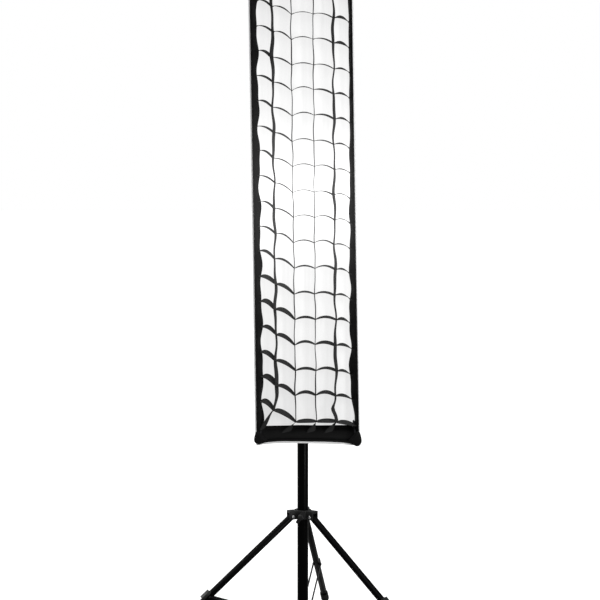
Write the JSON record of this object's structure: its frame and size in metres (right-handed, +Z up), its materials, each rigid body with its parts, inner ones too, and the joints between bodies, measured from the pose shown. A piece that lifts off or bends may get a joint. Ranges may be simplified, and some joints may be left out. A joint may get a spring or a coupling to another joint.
{
  "type": "studio softbox",
  "caption": "Tall strip softbox with an egg-crate fabric grid, on a light head that pans and tilts on a telescopic three-legged stand.",
  "frame": {"origin": "centre of the floor under the whole object's box", "axes": "+Z up, the lit front of the softbox faces -Y, +X to the viewer's right"},
  "size_m": [0.9287, 1.1203, 2.1413],
  "materials": {
    "black_tube": "satin black powder coat",
    "black_plastic": "matt moulded black",
    "rubber": "matt black",
    "bright_steel": "bright turned steel",
    "rod_steel": "sprung steel rod with a black coat",
    "dark_metal": "satin dark grey paint",
    "housing_paint": "fine textured dark grey paint on an aluminium shell",
    "lamp_ceramic": "white glazed",
    "lamp_glass": "clear glass",
    "lamp_tube": "frosted lamp glass",
    "black_fabric": "black woven polyester, silver coated inside the shell",
    "diffuser_fabric": "white translucent nylon",
    "binding_fabric": "pale grey woven tape"
  },
  "bodies": {
    "stand_base": {"base_tube": "black_tube", "lower_collar": "black_plastic", "base_lock_collar": "black_plastic"},
    "base_knob": {"base_lock_knob": "black_plastic"},
    "mid_stage": {"mid_tube": "black_tube", "mid_lock_collar": "black_plastic"},
    "mid_knob": {"mid_lock_knob": "black_plastic"},
    "top_stage": {"top_tube": "black_tube", "spigot": "bright_steel"},
    "spider": {"leg_collar": "black_plastic", "leg_pin_1": "bright_steel", "leg_pin_2": "bright_steel", "leg_pin_3": "bright_steel"},
    "spider_knob": {"leg_collar_knob": "black_plastic"},
    "leg_a": {"leg_1": "black_tube", "foot_1": "rubber", "leg_clip_1": "black_plastic"},
    "leg_b": {"leg_2": "black_tube", "foot_2": "rubber", "leg_clip_2": "black_plastic"},
    "leg_c": {"leg_3": "black_tube", "foot_3": "rubber", "leg_clip_3": "black_plastic"},
    "brace_a": {"brace_1": "black_tube"},
    "brace_b": {"brace_2": "black_tube"},
    "brace_c": {"brace_3": "black_tube"},
    "pan_head": {"receiver": "dark_metal"},
    "pan_knob": {"receiver_knob": "black_plastic"},
    "light_head": {"tilt_block": "dark_metal", "housing": "housing_paint", "power_unit": "black_plastic", "rear_panel": "black_plastic", "mains_inlet": "black_plastic", "carry_handle": "rubber", "front_mount_ring": "bright_steel", "mount_insert": "bright_steel", "lamp_holder": "lamp_ceramic", "flash_lamp": "lamp_tube", "glass_dome": "lamp_glass"},
    "tilt_clamp": {"tilt_lever": "black_plastic"},
    "latch": {"mount_latch": "black_plastic"},
    "dial": {"power_dial": "black_plastic"},
    "rocker": {"power_switch": "black_plastic"},
    "strip_box": {"rod_holder": "dark_metal", "rod_1": "rod_steel", "rod_2": "rod_steel", "rod_3": "rod_steel", "rod_4": "rod_steel", "corner_pocket_1": "black_fabric", "corner_pocket_2": "black_fabric", "corner_pocket_3": "black_fabric", "corner_pocket_4": "black_fabric", "wall_left": "black_fabric", "wall_right": "black_fabric", "wall_top": "black_fabric", "wall_bottom": "black_fabric", "edge_binding": "binding_fabric", "front_diffuser": "diffuser_fabric", "inner_baffle": "diffuser_fabric", "grid": "black_fabric"}
  },
  "joints": [
    {"name": "leg_fold", "type": "slide", "parent": "stand_base", "child": "spider", "axis": [0, 0, 1], "range_m": [0, 0.3298]},
    {"name": "leg_swing_a", "type": "hinge", "parent": "spider", "child": "leg_a", "pos_m": [0.00264, 0.01884, 0.4135], "axis": [0.3502, -0.9367, 0], "range_deg": [0, 45.4]},
    {"name": "brace_swing_a", "type": "hinge", "parent": "stand_base", "child": "brace_a", "pos_m": [0.00264, 0.01884, 0.082], "axis": [-0.3502, 0.9367, 0], "range_deg": [0, 64.7]},
    {"name": "leg_swing_b", "type": "hinge", "parent": "spider", "child": "leg_b", "pos_m": [0.06665, 0.00928, 0.4135], "axis": [0.6088, 0.7934, 0], "range_deg": [0, 45.4]},
    {"name": "brace_swing_b", "type": "hinge", "parent": "stand_base", "child": "brace_b", "pos_m": [0.06665, 0.00928, 0.082], "axis": [-0.6088, -0.7934, 0], "range_deg": [0, 64.7]},
    {"name": "leg_swing_c", "type": "hinge", "parent": "spider", "child": "leg_c", "pos_m": [0.04309, 0.06834, 0.4135], "axis": [-0.9877, 0.1564, 0], "range_deg": [0, 45.4]},
    {"name": "brace_swing_c", "type": "hinge", "parent": "stand_base", "child": "brace_c", "pos_m": [0.04309, 0.06834, 0.082], "axis": [0.9877, -0.1564, 0], "range_deg": [0, 64.7]},
    {"name": "leg_collar_knob_turn", "type": "hinge", "parent": "spider", "child": "spider_knob", "pos_m": [0.03193, -0.0041, 0.416], "axis": [-0.1478, -0.989, 0], "range_deg": [0, 270]},
    {"name": "mid_extend", "type": "slide", "parent": "stand_base", "child": "mid_stage", "axis": [0, 0, 1], "range_m": [-0.18, 0.42]},
    {"name": "base_knob_turn", "type": "hinge", "parent": "stand_base", "child": "base_knob", "pos_m": [0.06925, 0.04343, 0.818], "axis": [0.9397, 0.342, 0], "range_deg": [0, 270]},
    {"name": "top_extend", "type": "slide", "parent": "mid_stage", "child": "top_stage", "axis": [0, 0, 1], "range_m": [-0.14, 0.42]},
    {"name": "mid_knob_turn", "type": "hinge", "parent": "mid_stage", "child": "mid_knob", "pos_m": [0.06643, 0.0424, 1.058], "axis": [0.9397, 0.342, 0], "range_deg": [0, 270]},
    {"name": "head_pan", "type": "hinge", "parent": "top_stage", "child": "pan_head", "pos_m": [0.0373, 0.0318, 1.275], "axis": [0, 0, 1], "continuous": true},
    {"name": "receiver_knob_turn", "type": "hinge", "parent": "pan_head", "child": "pan_knob", "pos_m": [0.009, 0.0318, 1.275], "axis": [-1, 0, 0], "range_deg": [0, 270]},
    {"name": "head_tilt", "type": "hinge", "parent": "pan_head", "child": "light_head", "pos_m": [0.0373, 0.0318, 1.338], "axis": [1, 0, 0], "range_deg": [-60, 30]},
    {"name": "tilt_lever_turn", "type": "hinge", "parent": "light_head", "child": "tilt_clamp", "pos_m": [0.0373, 0.0318, 1.338], "axis": [1, 0, 0], "range_deg": [0, 60]},
    {"name": "softbox_turn", "type": "hinge", "parent": "light_head", "child": "strip_box", "pos_m": [0.0373, -0.1532, 1.435], "axis": [0, 1, 0], "continuous": true},
    {"name": "latch_slide", "type": "slide", "parent": "light_head", "child": "latch", "axis": [0, 1, 0], "range_m": [0, 0.006], "stiffness_N_per_m": 400},
    {"name": "dial_turn", "type": "hinge", "parent": "light_head", "child": "dial", "pos_m": [0.0373, 0.1783, 1.455], "axis": [0, 1, 0], "range_deg": [-140, 140]},
    {"name": "switch_rock", "type": "hinge", "parent": "light_head", "child": "rocker", "pos_m": [0.0123, 0.1748, 1.417], "axis": [0, 0, 1], "range_deg": [0, 12]}
  ],
  "couplings": [
    {"joint": "leg_swing_a", "follows": "leg_fold", "rad_per_m": 2.4008},
    {"joint": "brace_swing_a", "follows": "leg_fold", "rad_per_m": 3.4219},
    {"joint": "leg_swing_b", "follows": "leg_fold", "rad_per_m": 2.4008},
    {"joint": "brace_swing_b", "follows": "leg_fold", "rad_per_m": 3.4219},
    {"joint": "leg_swing_c", "follows": "leg_fold", "rad_per_m": 2.4008},
    {"joint": "brace_swing_c", "follows": "leg_fold", "rad_per_m": 3.4219}
  ]
}
